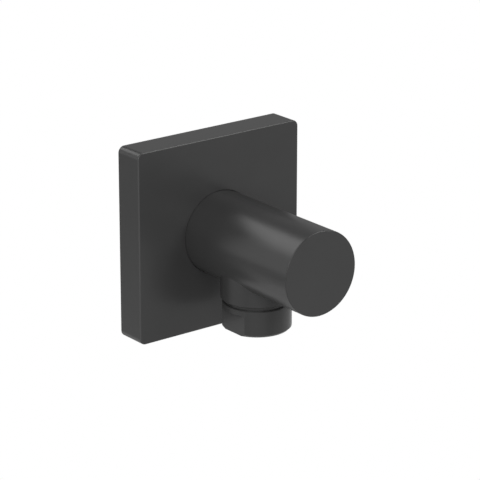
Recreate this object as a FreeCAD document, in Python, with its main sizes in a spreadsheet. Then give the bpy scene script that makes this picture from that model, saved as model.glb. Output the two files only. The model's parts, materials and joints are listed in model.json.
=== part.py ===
"""Wall outlet elbow for a hand shower: the mechanical model.

Millimetres, +Z up. The origin lies on the finished wall, on the axis of the barrel.
+Y points into the wall and -Y into the room, so +X is to the right for a person
who faces the wall. The hose outlet points straight down.
"""
import FreeCAD, Part
import math
import os
import Sketcher

doc = FreeCAD.newDocument("wall_outlet_elbow")

# Driving dimensions, each written once. Heights below the barrel axis are positive drops,
# and distances out from the wall are positive reaches.
SIZES = [
    # square wall plate
    ("plate_side", 60.0),
    ("plate_depth", 10.0),
    ("plate_corner", 2.0),
    ("plate_edge", 0.35),
    ("plate_front_wall", 2.5),
    ("plate_side_wall", 4.0),
    ("plate_inner_corner", 1.5),
    ("plate_hole_gap", 0.15),
    ("collar_wall", 3.2),
    ("collar_height", 2.9),
    ("rebate_lip", 1.5),
    ("gasket_depth", 1.8),
    ("gasket_gap", 0.1),
    ("plate_ring_section", 1.8),
    ("plate_groove_width", 2.2),
    ("plate_ring_reach", 7.2),
    # elbow body
    ("barrel_dia", 26.0),
    ("barrel_reach", 58.0),
    ("barrel_edge", 0.3),
    ("barrel_back_chamfer", 0.5),
    ("body_seat", 5.0),
    ("socket_dia", 17.0),
    ("socket_reach", 20.0),
    ("socket_lead", 0.8),
    ("waterway_dia", 16.0),
    ("waterway_reach", 48.0),
    ("drill_point", 118.0),
    ("outlet_reach", 28.2),
    ("neck_dia", 22.0),
    ("neck_drop", 15.5),
    ("neck_edge", 0.3),
    ("neck_root", 0.5),
    # nipple that screws into the wall fitting
    ("inlet_thread_dia", 20.955),
    ("inlet_thread_length", 12.0),
    ("inlet_thread_chamfer", 1.0),
    ("thread_relief_dia", 18.6),
    ("flange_dia", 25.0),
    ("flange_thick", 3.0),
    ("washer_thick", 1.5),
    ("washer_gap", 0.12),
    ("spigot_gap", 0.1),
    ("spigot_end_gap", 0.3),
    ("spigot_chamfer", 0.5),
    ("spigot_ring_section", 1.4),
    ("spigot_groove_width", 1.7),
    ("front_ring_reach", 18.05),
    ("rear_ring_reach", 15.55),
    ("inlet_bore_dia", 9.8),
    ("inlet_key", 10.0),
    ("inlet_key_depth", 10.0),
    # grub screw under the barrel
    ("grub_reach", 12.7),
    ("grub_dia", 4.0),
    ("grub_sink", 0.4),
    ("grub_tip_dia", 2.5),
    ("grub_tip_length", 1.0),
    ("grub_groove_depth", 0.9),
    ("grub_key", 2.0),
    ("grub_key_depth", 2.2),
    # hose outlet nipple
    ("hose_thread_dia", 20.955),
    ("outlet_drop", 25.0),
    ("shadow_gap", 1.2),
    ("shadow_dia", 19.4),
    ("stub_chamfer", 0.7),
    ("stub_top_edge", 0.25),
    ("flats_across", 18.0),
    ("flats_height", 6.6),
    ("shank_thread_dia", 18.0),
    ("shank_length", 4.3),
    ("nose_dia", 15.2),
    ("nose_length", 2.6),
    ("nose_gap", 0.1),
    ("outlet_ring_space", 1.6),
    ("cartridge_bore_dia", 13.0),
    ("cartridge_stop_thick", 1.6),
    ("cartridge_stop_dia", 10.0),
    # check valve cartridge
    ("housing_gap", 0.1),
    ("housing_top_gap", 0.05),
    ("housing_recess", 0.8),
    ("seat_thick", 2.1),
    ("seat_dia", 7.6),
    ("chamber_dia", 10.4),
    ("housing_lip", 0.3),
    ("housing_lip_height", 0.9),
    ("housing_ring_land", 0.5),
    ("housing_ring_width", 1.3),
    ("housing_ring_section", 1.15),
    ("seal_gap", 0.15),
    ("seal_dia", 9.0),
    ("seal_thick", 1.0),
    ("poppet_dia", 8.8),
    ("poppet_thick", 1.2),
    ("poppet_neck_dia", 5.2),
    ("poppet_head_dia", 6.2),
    ("poppet_head_height", 0.75),
    ("pilot_dia", 4.8),
    ("pilot_height", 0.6),
    ("stem_dia", 2.4),
    ("stem_length", 6.2),
    ("stem_gap", 0.08),
    ("guide_gap", 0.05),
    ("guide_ring_width", 0.75),
    ("guide_thick", 1.8),
    ("guide_arm_width", 1.1),
    ("guide_arm_count", 3),
    ("hub_dia", 4.1),
    ("hub_height", 3.8),
    ("spring_mean_dia", 5.6),
    ("spring_wire_dia", 0.45),
    ("spring_turns", 5),
    ("spring_end_gap", 0.05),
    # clearances shared by several pieces
    ("thread_gap", 0.05),
    ("ring_gap", 0.02),
]

sheet = doc.addObject("Spreadsheet::Sheet", "Sizes")
for row, (alias, value) in enumerate(SIZES, start=1):
    sheet.set(f"A{row}", alias)
    sheet.set(f"B{row}", str(value))
    sheet.setAlias(f"B{row}", alias)

# Places that follow from the driving dimensions. Each is a formula in the sheet, so that
# two pieces that meet there read one value.
DERIVED = [
    ("plate_half", "=plate_side / 2"),
    ("hole_r", "=barrel_dia / 2 + plate_hole_gap"),
    ("hollow_depth", "=plate_depth - plate_front_wall"),
    ("flange_back", "=body_seat - flange_thick"),
    ("spigot_r", "=socket_dia / 2 - spigot_gap"),
    ("spigot_reach", "=socket_reach - spigot_end_gap"),
    ("spigot_groove_r", "=socket_dia / 2 - spigot_ring_section"),
    ("stub_top_drop", "=neck_drop + shadow_gap"),
    ("shank_top_drop", "=neck_drop - shank_length"),
    ("nose_top_drop", "=shank_top_drop - nose_length"),
    ("neck_bore_drop", "=shank_top_drop - outlet_ring_space"),
    ("neck_bore_r", "=shank_thread_dia / 2 + thread_gap"),
    ("stop_drop", "=nose_top_drop + cartridge_stop_thick"),
    ("housing_top_drop", "=stop_drop + housing_top_gap"),
    ("housing_r", "=cartridge_bore_dia / 2 - housing_gap"),
    ("housing_groove_r", "=cartridge_bore_dia / 2 - housing_ring_section"),
    ("housing_end_drop", "=outlet_drop - housing_recess"),
    ("seat_drop", "=housing_top_drop + seat_thick"),
    ("seal_drop", "=seat_drop + seal_gap"),
    ("poppet_drop", "=seal_drop + seal_thick"),
    ("spring_top_drop", "=poppet_drop + poppet_thick"),
    ("stem_end_drop", "=spring_top_drop + pilot_height + stem_length"),
    ("guide_end_drop", "=housing_end_drop - housing_lip_height - guide_gap"),
    ("guide_top_drop", "=guide_end_drop - guide_thick"),
    ("hub_top_drop", "=guide_end_drop - hub_height"),
    ("guide_r", "=chamber_dia / 2 - guide_gap"),
]
for row, (alias, formula) in enumerate(DERIVED, start=len(SIZES) + 1):
    sheet.set(f"A{row}", alias)
    sheet.set(f"B{row}", formula)
    sheet.setAlias(f"B{row}", alias)
doc.recompute()


def bind(target, property_path, formula):
    """Tie one property of an object to a formula of the sheet's aliases."""
    target.setExpression(property_path, formula)


def value_of(formula):
    """The present value of a formula, to start a sketch near its solution."""
    result = sheet.evalExpression(formula)
    return float(getattr(result, "Value", result))


def new_body(name):
    """A piece that is turned, cast or moulded, as a body of its own."""
    body = doc.addObject("PartDesign::Body", name)
    body.Label = name
    return body


def on_plane(feature, body, role):
    """Attach a sketch or primitive to one of its body's origin planes."""
    plane = next(item for item in body.Origin.OriginFeatures if item.Role == role)
    feature.AttachmentSupport = (plane, "")
    feature.MapMode = "FlatFace"


def new_sketch(body, name, role, shift=None):
    """An empty sketch on an origin plane. shift maps offset axes x, y, z to formulas."""
    sketch = body.newObject("Sketcher::SketchObject", name)
    on_plane(sketch, body, role)
    for axis, formula in (shift or {}).items():
        bind(sketch, f"AttachmentOffset.Base.{axis}", formula)
    return sketch


def fix_coordinate(sketch, kind, geometry, point, formula):
    """Hold one coordinate of a point, by an axis where it is zero, else by a formula."""
    if formula == "0":
        axis = -2 if kind == "DistanceX" else -1
        sketch.addConstraint(Sketcher.Constraint("PointOnObject", geometry, point, axis))
        return
    held = Sketcher.Constraint(kind, -1, 1, geometry, point, value_of(formula))
    index = sketch.addConstraint(held)
    bind(sketch, f"Constraints[{index}]", formula)


def draw_outline(sketch, points):
    """A closed outline of straight edges, each corner held at its two formulas."""
    places = [FreeCAD.Vector(value_of(u), value_of(v), 0) for u, v in points]
    count = len(points)
    first = sketch.GeometryCount
    for i in range(count):
        sketch.addGeometry(Part.LineSegment(places[i], places[(i + 1) % count]), False)
    for i in range(count):
        follower = first + (i + 1) % count
        sketch.addConstraint(Sketcher.Constraint("Coincident", first + i, 2, follower, 1))
    for i, (u, v) in enumerate(points):
        fix_coordinate(sketch, "DistanceX", first + i, 1, u)
        fix_coordinate(sketch, "DistanceY", first + i, 1, v)


def draw_circle(sketch, radius, u="0", v="0"):
    """A circle of a given radius about a point, all three given as formulas."""
    centre = FreeCAD.Vector(value_of(u), value_of(v), 0)
    circle = Part.Circle(centre, FreeCAD.Vector(0, 0, 1), value_of(radius))
    index = sketch.addGeometry(circle, False)
    fix_coordinate(sketch, "DistanceX", index, 3, u)
    fix_coordinate(sketch, "DistanceY", index, 3, v)
    held = sketch.addConstraint(Sketcher.Constraint("Radius", index, value_of(radius)))
    bind(sketch, f"Constraints[{held}]", radius)


def draw_rounded_square(sketch, half, corner):
    """A square about the origin with round corners: four edges joined by tangent arcs."""
    reach = value_of(half)
    radius = value_of(corner)
    flat = reach - radius
    first = sketch.GeometryCount
    for quarter in range(4):
        turn = quarter * math.pi / 2
        spin = FreeCAD.Rotation(FreeCAD.Vector(0, 0, 1), math.degrees(turn))
        start = spin.multVec(FreeCAD.Vector(reach, -flat, 0))
        end = spin.multVec(FreeCAD.Vector(reach, flat, 0))
        centre = spin.multVec(FreeCAD.Vector(flat, flat, 0))
        arc = Part.Circle(centre, FreeCAD.Vector(0, 0, 1), radius)
        sketch.addGeometry(Part.LineSegment(start, end), False)
        sketch.addGeometry(Part.ArcOfCircle(arc, turn, turn + math.pi / 2), False)
    for quarter in range(4):
        edge = first + 2 * quarter
        arc = edge + 1
        next_edge = first + 2 * ((quarter + 1) % 4)
        sketch.addConstraint(Sketcher.Constraint("Tangent", edge, 2, arc, 1))
        sketch.addConstraint(Sketcher.Constraint("Tangent", arc, 2, next_edge, 1))
        upright = quarter % 2 == 0
        sketch.addConstraint(Sketcher.Constraint("Vertical" if upright else "Horizontal", edge))
        sign = "" if quarter in (0, 1) else "-"
        fix_coordinate(sketch, "DistanceX" if upright else "DistanceY", edge, 1, f"{sign}{half}")
        if quarter > 0:
            sketch.addConstraint(Sketcher.Constraint("Equal", first + 1, arc))
    held = sketch.addConstraint(Sketcher.Constraint("Radius", first + 1, radius))
    bind(sketch, f"Constraints[{held}]", corner)


def finish_feature(body, feature, removes):
    """Recompute a feature and stop if it left its body's solid as it was."""
    before = 0.0 if feature.BaseFeature is None else feature.BaseFeature.Shape.Volume
    body.Tip = feature
    doc.recompute()
    after = feature.Shape.Volume
    changed = before - after if removes else after - before
    if changed <= 0:
        raise RuntimeError(f"{body.Label}: {feature.Name} changed nothing")
    return feature


def turned(body, name, sketch, removes=False):
    """A full turn of a sketch about its own upright axis, added or cut."""
    kind = "PartDesign::Groove" if removes else "PartDesign::Revolution"
    feature = body.newObject(kind, name)
    feature.Profile = sketch
    feature.ReferenceAxis = (sketch, ["V_Axis"])
    feature.Angle = 360
    return finish_feature(body, feature, removes)


def padded(body, name, sketch, length, flip=False):
    """A pad along the sketch's normal, or against it."""
    feature = body.newObject("PartDesign::Pad", name)
    feature.Profile = sketch
    feature.Reversed = flip
    bind(feature, "Length", length)
    return finish_feature(body, feature, removes=False)


def pocketed(body, name, sketch, length, flip=False):
    """A pocket against the sketch's normal, or along it."""
    feature = body.newObject("PartDesign::Pocket", name)
    feature.Profile = sketch
    feature.Reversed = flip
    bind(feature, "Length", length)
    return finish_feature(body, feature, removes=True)


def edges_where(feature, test):
    """Names of the feature's edges that pass a test on the edge itself."""
    found = [f"Edge{i}" for i, edge in enumerate(feature.Shape.Edges, start=1) if test(edge)]
    if not found:
        raise RuntimeError(f"{feature.Name}: no edge to finish")
    return found


def dressed(body, name, kind, base, test, size):
    """A fillet or a chamfer on the edges of the last feature that pass the test."""
    feature = body.newObject(f"PartDesign::{kind}", name)
    feature.Base = (base, edges_where(base, test))
    bind(feature, "Radius" if kind == "Fillet" else "Size", size)
    body.Tip = feature
    doc.recompute()
    return feature


def lies_at(edge, axis, place):
    """True where the whole edge lies in one plane across the named axis."""
    box = edge.BoundBox
    low = getattr(box, f"{axis}Min")
    high = getattr(box, f"{axis}Max")
    return abs(low - place) < 1e-4 and abs(high - place) < 1e-4


def hexagon_cut(body, name, role, across, depth, shift, flip):
    """A hexagon socket of a given width across flats, sunk from its own plane."""
    feature = body.newObject("PartDesign::SubtractivePrism", name)
    on_plane(feature, body, role)
    feature.Polygon = 6
    bind(feature, "Circumradius", f"{across} / 2 / cos(30deg)")
    bind(feature, "Height", depth)
    for axis, formula in shift.items():
        bind(feature, f"AttachmentOffset.Base.{axis}", formula)
    if flip:
        feature.AttachmentOffset = FreeCAD.Placement(
            feature.AttachmentOffset.Base, FreeCAD.Rotation(FreeCAD.Vector(1, 0, 0), 180))
    return finish_feature(body, feature, removes=True)


def round_ring(name, radius, section, placement_axis, place):
    """A round rubber ring: a torus about the barrel's axis or the outlet's."""
    ring = doc.addObject("Part::Torus", name)
    ring.Label = name
    bind(ring, "Radius1", radius)
    bind(ring, "Radius2", section)
    if placement_axis == "barrel":
        ring.Placement.Rotation = FreeCAD.Rotation(FreeCAD.Vector(1, 0, 0), 90)
    for axis, formula in place.items():
        bind(ring, f"Placement.Base.{axis}", formula)
    return ring


def elbow_body():
    """Elbow cast and turned in one piece: a blind barrel with a short neck below it."""
    body = new_body("elbow_body")
    barrel = new_sketch(body, "barrel_section", "XY_Plane")
    draw_outline(barrel, [
        ("0", "-Sizes.barrel_reach"),
        ("Sizes.barrel_dia / 2", "-Sizes.barrel_reach"),
        ("Sizes.barrel_dia / 2", "-Sizes.body_seat - Sizes.barrel_back_chamfer"),
        ("Sizes.barrel_dia / 2 - Sizes.barrel_back_chamfer", "-Sizes.body_seat"),
        ("0", "-Sizes.body_seat"),
    ])
    turned(body, "barrel", barrel)

    neck = new_sketch(body, "neck_section", "YZ_Plane", {"x": "-Sizes.outlet_reach"})
    draw_outline(neck, [
        ("0", "-Sizes.neck_drop"),
        ("Sizes.neck_dia / 2 - Sizes.neck_edge", "-Sizes.neck_drop"),
        ("Sizes.neck_dia / 2", "-Sizes.neck_drop + Sizes.neck_edge"),
        ("Sizes.neck_dia / 2", "0"),
        ("0", "0"),
    ])
    joined = turned(body, "neck", neck)

    front = -value_of("Sizes.barrel_reach")
    root = value_of("Sizes.neck_dia / 2")
    centre = -value_of("Sizes.outlet_reach")

    def is_saddle(edge):
        box = edge.BoundBox
        return (abs(box.XMax - root) < 1e-3 or abs(box.XMin + root) < 1e-3) \
            and box.ZMax < -1 and box.ZLength > 1 and abs(box.Center.y - centre) < root

    rooted = dressed(body, "neck_root_fillet", "Fillet", joined, is_saddle, "Sizes.neck_root")
    edged = dressed(body, "front_edge", "Fillet", rooted,
                    lambda edge: lies_at(edge, "Y", front), "Sizes.barrel_edge")

    water = new_sketch(body, "waterway_section", "XY_Plane")
    draw_outline(water, [
        ("0", "-Sizes.body_seat"),
        ("Sizes.socket_dia / 2 + Sizes.socket_lead", "-Sizes.body_seat"),
        ("Sizes.socket_dia / 2", "-Sizes.body_seat - 2 * Sizes.socket_lead"),
        ("Sizes.socket_dia / 2", "-Sizes.socket_reach"),
        ("Sizes.waterway_dia / 2", "-Sizes.socket_reach"),
        ("Sizes.waterway_dia / 2", "-Sizes.waterway_reach"),
        ("0", "-Sizes.waterway_reach - Sizes.waterway_dia / 2 / tan(Sizes.drill_point * 0.5deg)"),
    ])
    turned(body, "waterway", water, removes=True)

    outlet = new_sketch(body, "outlet_bore_section", "YZ_Plane", {"x": "-Sizes.outlet_reach"})
    draw_outline(outlet, [
        ("0", "-Sizes.neck_drop"),
        ("Sizes.neck_bore_r + Sizes.neck_edge", "-Sizes.neck_drop"),
        ("Sizes.neck_bore_r", "-Sizes.neck_drop + Sizes.neck_edge"),
        ("Sizes.neck_bore_r", "-Sizes.neck_bore_drop"),
        ("Sizes.nose_dia / 2 + Sizes.nose_gap", "-Sizes.neck_bore_drop"),
        ("Sizes.nose_dia / 2 + Sizes.nose_gap", "0"),
        ("0", "0"),
    ])
    turned(body, "outlet_bore", outlet, removes=True)

    grub = new_sketch(body, "grub_hole_section", "YZ_Plane", {"x": "-Sizes.grub_reach"})
    draw_outline(grub, [
        ("0", "-Sizes.barrel_dia / 2 - Sizes.grub_sink"),
        ("Sizes.grub_dia / 2 + Sizes.thread_gap", "-Sizes.barrel_dia / 2 - Sizes.grub_sink"),
        ("Sizes.grub_dia / 2 + Sizes.thread_gap", "-Sizes.socket_dia / 4"),
        ("0", "-Sizes.socket_dia / 4"),
    ])
    turned(body, "grub_hole", grub, removes=True)
    return body


def wall_plate():
    """Die-cast square cover: a hollow shell with a collar round its hole, open at the back."""
    body = new_body("wall_plate")
    face = new_sketch(body, "plate_outline", "XZ_Plane")
    draw_rounded_square(face, "Sizes.plate_half", "Sizes.plate_corner")
    slab = padded(body, "plate_slab", face, "Sizes.plate_depth")

    front = -value_of("Sizes.plate_depth")
    edged = dressed(body, "plate_front_edge", "Fillet", slab,
                    lambda edge: lies_at(edge, "Y", front), "Sizes.plate_edge")

    hollow = new_sketch(body, "plate_hollow_outline", "XZ_Plane")
    draw_rounded_square(hollow, "(Sizes.plate_half - Sizes.plate_side_wall)",
                        "Sizes.plate_inner_corner")
    pocketed(body, "plate_hollow", hollow, "Sizes.hollow_depth - Sizes.collar_height", flip=True)

    trough = new_sketch(body, "plate_trough_outline", "XZ_Plane")
    draw_rounded_square(trough, "(Sizes.plate_half - Sizes.plate_side_wall)",
                        "Sizes.plate_inner_corner")
    draw_circle(trough, "Sizes.hole_r + Sizes.collar_wall")
    pocketed(body, "plate_trough", trough, "Sizes.hollow_depth", flip=True)

    rebate = new_sketch(body, "gasket_rebate_outline", "XZ_Plane")
    draw_rounded_square(rebate, "(Sizes.plate_half - Sizes.rebate_lip)",
                        "Sizes.plate_inner_corner")
    pocketed(body, "gasket_rebate", rebate, "Sizes.gasket_depth", flip=True)

    hole = new_sketch(body, "plate_hole_outline", "XZ_Plane")
    draw_circle(hole, "Sizes.hole_r")
    pocketed(body, "plate_hole", hole, "Sizes.plate_depth", flip=True)

    groove = new_sketch(body, "ring_groove_section", "XY_Plane")
    outer = "Sizes.barrel_dia / 2 + Sizes.plate_ring_section"
    inner = "Sizes.barrel_dia / 2"
    near = "-Sizes.plate_ring_reach + Sizes.plate_groove_width / 2"
    far = "-Sizes.plate_ring_reach - Sizes.plate_groove_width / 2"
    draw_outline(groove, [(inner, far), (outer, far), (outer, near), (inner, near)])
    turned(body, "ring_groove", groove, removes=True)
    return body


def plate_gasket():
    """Flat frame of soft foam rubber, pressed into the rebate round the plate's back."""
    body = new_body("plate_gasket")
    frame = new_sketch(body, "gasket_outline", "XZ_Plane")
    draw_rounded_square(frame, "(Sizes.plate_half - Sizes.rebate_lip - Sizes.gasket_gap)",
                        "(Sizes.plate_inner_corner - Sizes.gasket_gap)")
    draw_rounded_square(frame, "(Sizes.plate_half - Sizes.plate_side_wall)",
                        "Sizes.plate_inner_corner")
    padded(body, "gasket_frame", frame, "Sizes.gasket_depth")
    return body


def plate_o_ring():
    """Rubber ring in the plate's collar, which grips the barrel."""
    return round_ring(
        "plate_o_ring", "(Sizes.barrel_dia + Sizes.plate_ring_section) / 2",
        "Sizes.plate_ring_section / 2 - Sizes.ring_gap", "barrel",
        {"y": "-Sizes.plate_ring_reach"})


def wall_nipple():
    """Turned brass nipple: pipe thread into the wall, flange, and a spigot for the elbow.

    The thread ends in a relief groove under the washer, as a turned thread does.
    """
    body = new_body("wall_nipple")
    profile = new_sketch(body, "nipple_section", "XY_Plane")
    thread_r = "Sizes.inlet_thread_dia / 2"
    relief_r = "Sizes.thread_relief_dia / 2"
    thread_end = "-Sizes.flange_back + Sizes.washer_thick"
    bore_r = "Sizes.inlet_bore_dia / 2"
    half_groove = "Sizes.spigot_groove_width / 2"
    tip_half = "(Sizes.grub_tip_dia / 2 + Sizes.thread_gap)"
    points = [
        (bore_r, "Sizes.inlet_thread_length"),
        (f"{thread_r} - Sizes.inlet_thread_chamfer", "Sizes.inlet_thread_length"),
        (thread_r, "Sizes.inlet_thread_length - Sizes.inlet_thread_chamfer"),
        (thread_r, thread_end),
        (relief_r, thread_end),
        (relief_r, "-Sizes.flange_back"),
        ("Sizes.flange_dia / 2", "-Sizes.flange_back"),
        ("Sizes.flange_dia / 2", "-Sizes.body_seat"),
        ("Sizes.spigot_r", "-Sizes.body_seat"),
    ]
    grooves = [
        ("Sizes.grub_reach", tip_half, "Sizes.spigot_r - Sizes.grub_groove_depth"),
        ("Sizes.rear_ring_reach", half_groove, "Sizes.spigot_groove_r"),
        ("Sizes.front_ring_reach", half_groove, "Sizes.spigot_groove_r"),
    ]
    for reach, half_width, floor in grooves:
        points += [
            ("Sizes.spigot_r", f"-{reach} + {half_width}"),
            (floor, f"-{reach} + {half_width}"),
            (floor, f"-{reach} - {half_width}"),
            ("Sizes.spigot_r", f"-{reach} - {half_width}"),
        ]
    points += [
        ("Sizes.spigot_r", "-Sizes.spigot_reach + Sizes.spigot_chamfer"),
        ("Sizes.spigot_r - Sizes.spigot_chamfer", "-Sizes.spigot_reach"),
        (bore_r, "-Sizes.spigot_reach"),
    ]
    draw_outline(profile, points)
    turned(body, "nipple_turned", profile)
    hexagon_cut(body, "nipple_key_socket", "XZ_Plane", "Sizes.inlet_key",
                "Sizes.inlet_key_depth", {"z": "Sizes.spigot_reach"}, flip=True)
    return body


def inlet_washer():
    """Flat rubber washer between the nipple's flange and the wall fitting."""
    outer = doc.addObject("Part::Cylinder", "inlet_washer_disc")
    inner = doc.addObject("Part::Cylinder", "inlet_washer_hole")
    bind(outer, "Radius", "Sizes.flange_dia / 2")
    bind(inner, "Radius", "Sizes.inlet_thread_dia / 2 + Sizes.washer_gap")
    for disc in (outer, inner):
        bind(disc, "Height", "Sizes.washer_thick")
    washer = doc.addObject("Part::Cut", "inlet_washer")
    washer.Label = "inlet_washer"
    washer.Base = outer
    washer.Tool = inner
    washer.Placement.Rotation = FreeCAD.Rotation(FreeCAD.Vector(1, 0, 0), -90)
    bind(washer, "Placement.Base.y", "-Sizes.flange_back")
    return washer


def spigot_ring(name, reach):
    """Rubber ring in one groove of the spigot, squeezed by the elbow's socket."""
    return round_ring(
        name, "(Sizes.socket_dia - Sizes.spigot_ring_section) / 2",
        "Sizes.spigot_ring_section / 2 - Sizes.ring_gap", "barrel", {"y": f"-{reach}"})


def grub_screw():
    """Dog-point grub screw with a hexagon socket, which clamps the elbow to the spigot."""
    body = new_body("grub_screw")
    bind(body, "Placement.Base.y", "-Sizes.grub_reach")
    profile = new_sketch(body, "grub_section", "XZ_Plane")
    head = "-Sizes.barrel_dia / 2 + Sizes.grub_sink"
    tip = "-Sizes.spigot_r + Sizes.grub_groove_depth - Sizes.thread_gap"
    step = f"{tip} - Sizes.grub_tip_length"
    edge = "Sizes.grub_sink / 2"
    draw_outline(profile, [
        ("0", head),
        (f"Sizes.grub_dia / 2 - {edge}", head),
        ("Sizes.grub_dia / 2", f"{head} + {edge}"),
        ("Sizes.grub_dia / 2", f"{step} - {edge}"),
        (f"Sizes.grub_dia / 2 - {edge}", step),
        ("Sizes.grub_tip_dia / 2", step),
        ("Sizes.grub_tip_dia / 2", tip),
        ("0", tip),
    ])
    turned(body, "grub_turned", profile)
    hexagon_cut(body, "grub_key_socket", "XY_Plane", "Sizes.grub_key", "Sizes.grub_key_depth",
                {"z": head}, flip=False)
    return body


def outlet_nipple():
    """Turned brass nipple: hose thread with two wrench flats, screwed up into the neck.

    The flats stop at the thread's end, below a full ring. That edge is kept, so the ring
    and the two threaded sides are walls of their own.
    """
    body = new_body("outlet_nipple")
    bind(body, "Placement.Base.y", "-Sizes.outlet_reach")
    profile = new_sketch(body, "outlet_section", "XZ_Plane")
    stub_r = "Sizes.hose_thread_dia / 2"
    shank_r = "Sizes.shank_thread_dia / 2"
    draw_outline(profile, [
        ("Sizes.cartridge_bore_dia / 2", "-Sizes.outlet_drop"),
        (f"{stub_r} - Sizes.stub_chamfer", "-Sizes.outlet_drop"),
        (stub_r, "-Sizes.outlet_drop + Sizes.stub_chamfer"),
        (stub_r, "-Sizes.outlet_drop + Sizes.flats_height"),
        (stub_r, "-Sizes.stub_top_drop - Sizes.stub_top_edge"),
        (f"{stub_r} - Sizes.stub_top_edge", "-Sizes.stub_top_drop"),
        ("Sizes.shadow_dia / 2", "-Sizes.stub_top_drop"),
        ("Sizes.shadow_dia / 2", "-Sizes.neck_drop"),
        (shank_r, "-Sizes.neck_drop"),
        (shank_r, "-Sizes.shank_top_drop"),
        ("Sizes.nose_dia / 2", "-Sizes.shank_top_drop"),
        ("Sizes.nose_dia / 2", "-Sizes.nose_top_drop"),
        ("Sizes.cartridge_stop_dia / 2", "-Sizes.nose_top_drop"),
        ("Sizes.cartridge_stop_dia / 2", "-Sizes.stop_drop"),
        ("Sizes.cartridge_bore_dia / 2", "-Sizes.stop_drop"),
    ])
    stub = turned(body, "outlet_turned", profile)

    flat = new_sketch(body, "flat_outline", "XY_Plane", {"z": "-Sizes.outlet_drop"})
    draw_outline(flat, [
        ("Sizes.flats_across / 2", "-Sizes.hose_thread_dia / 2"),
        ("Sizes.hose_thread_dia", "-Sizes.hose_thread_dia / 2"),
        ("Sizes.hose_thread_dia", "Sizes.hose_thread_dia / 2"),
        ("Sizes.flats_across / 2", "Sizes.hose_thread_dia / 2"),
    ])
    right_flat = pocketed(body, "right_flat", flat, "Sizes.flats_height", flip=True)
    both_flats = body.newObject("PartDesign::Mirrored", "both_flats")
    both_flats.Originals = [right_flat]
    side = next(item for item in body.Origin.OriginFeatures if item.Role == "YZ_Plane")
    both_flats.MirrorPlane = (side, [""])
    for feature in (stub, right_flat, both_flats):
        feature.Refine = False
    body.Tip = both_flats
    doc.recompute()
    return body


def outlet_o_ring():
    """Rubber ring round the outlet nipple's nose, under the shoulder inside the neck."""
    gap_r = "(Sizes.neck_bore_r - Sizes.nose_dia / 2)"
    return round_ring(
        "outlet_o_ring", f"Sizes.nose_dia / 2 + {gap_r} / 2", f"{gap_r} / 2 - Sizes.ring_gap",
        "outlet",
        {"y": "-Sizes.outlet_reach", "z": "-Sizes.shank_top_drop + Sizes.outlet_ring_space / 2"})


def valve_housing():
    """Moulded sleeve of the check valve, with the seat at its top and a snap lip below."""
    body = new_body("valve_housing")
    bind(body, "Placement.Base.y", "-Sizes.outlet_reach")
    profile = new_sketch(body, "housing_section", "XZ_Plane")
    groove_top = "-Sizes.housing_top_drop - Sizes.housing_ring_land"
    groove_end = f"{groove_top} - Sizes.housing_ring_width"
    chamber_r = "Sizes.chamber_dia / 2"
    lip_top = "-Sizes.housing_end_drop + Sizes.housing_lip_height"
    draw_outline(profile, [
        ("Sizes.seat_dia / 2", "-Sizes.housing_top_drop"),
        ("Sizes.housing_r", "-Sizes.housing_top_drop"),
        ("Sizes.housing_r", groove_top),
        ("Sizes.housing_groove_r", groove_top),
        ("Sizes.housing_groove_r", groove_end),
        ("Sizes.housing_r", groove_end),
        ("Sizes.housing_r", "-Sizes.housing_end_drop"),
        (f"{chamber_r} - Sizes.housing_lip", "-Sizes.housing_end_drop"),
        (f"{chamber_r} - Sizes.housing_lip", lip_top),
        (chamber_r, lip_top),
        (chamber_r, "-Sizes.seat_drop"),
        ("Sizes.seat_dia / 2", "-Sizes.seat_drop"),
    ])
    turned(body, "housing_turned", profile)
    return body


def valve_o_ring():
    """Rubber ring round the valve housing, which seals and holds it in the nipple."""
    return round_ring(
        "valve_o_ring", "(Sizes.cartridge_bore_dia - Sizes.housing_ring_section) / 2",
        "Sizes.housing_ring_section / 2 - Sizes.ring_gap", "outlet",
        {"y": "-Sizes.outlet_reach",
         "z": "-Sizes.housing_top_drop - Sizes.housing_ring_land - Sizes.housing_ring_width / 2"})


def valve_guide():
    """Moulded spider snapped into the housing: a ring, three arms and the stem's hub."""
    body = new_body("valve_guide")
    bind(body, "Placement.Base.y", "-Sizes.outlet_reach")
    base = {"z": "-Sizes.guide_end_drop"}
    rim = new_sketch(body, "guide_ring_outline", "XY_Plane", base)
    draw_circle(rim, "Sizes.guide_r")
    draw_circle(rim, "Sizes.guide_r - Sizes.guide_ring_width")
    padded(body, "guide_ring", rim, "Sizes.guide_thick")

    arm = new_sketch(body, "guide_arm_outline", "XY_Plane", base)
    half = "Sizes.guide_arm_width / 2"
    reach = "Sizes.guide_r - Sizes.guide_ring_width / 2"
    draw_outline(arm, [(f"-{half}", "0"), (half, "0"), (half, reach), (f"-{half}", reach)])
    first_arm = padded(body, "guide_arm", arm, "Sizes.guide_thick")
    arms = body.newObject("PartDesign::PolarPattern", "guide_arms")
    arms.Originals = [first_arm]
    upright = next(item for item in body.Origin.OriginFeatures if item.Role == "Z_Axis")
    arms.Axis = (upright, [""])
    arms.Angle = 360
    bind(arms, "Occurrences", "Sizes.guide_arm_count")
    body.Tip = arms
    doc.recompute()

    hub = new_sketch(body, "guide_hub_outline", "XY_Plane", base)
    draw_circle(hub, "Sizes.hub_dia / 2")
    padded(body, "guide_hub", hub, "Sizes.hub_height")
    bore = new_sketch(body, "guide_bore_outline", "XY_Plane", base)
    draw_circle(bore, "Sizes.stem_dia / 2 + Sizes.stem_gap")
    pocketed(body, "guide_bore", bore, "Sizes.hub_height", flip=True)
    return body


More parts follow.
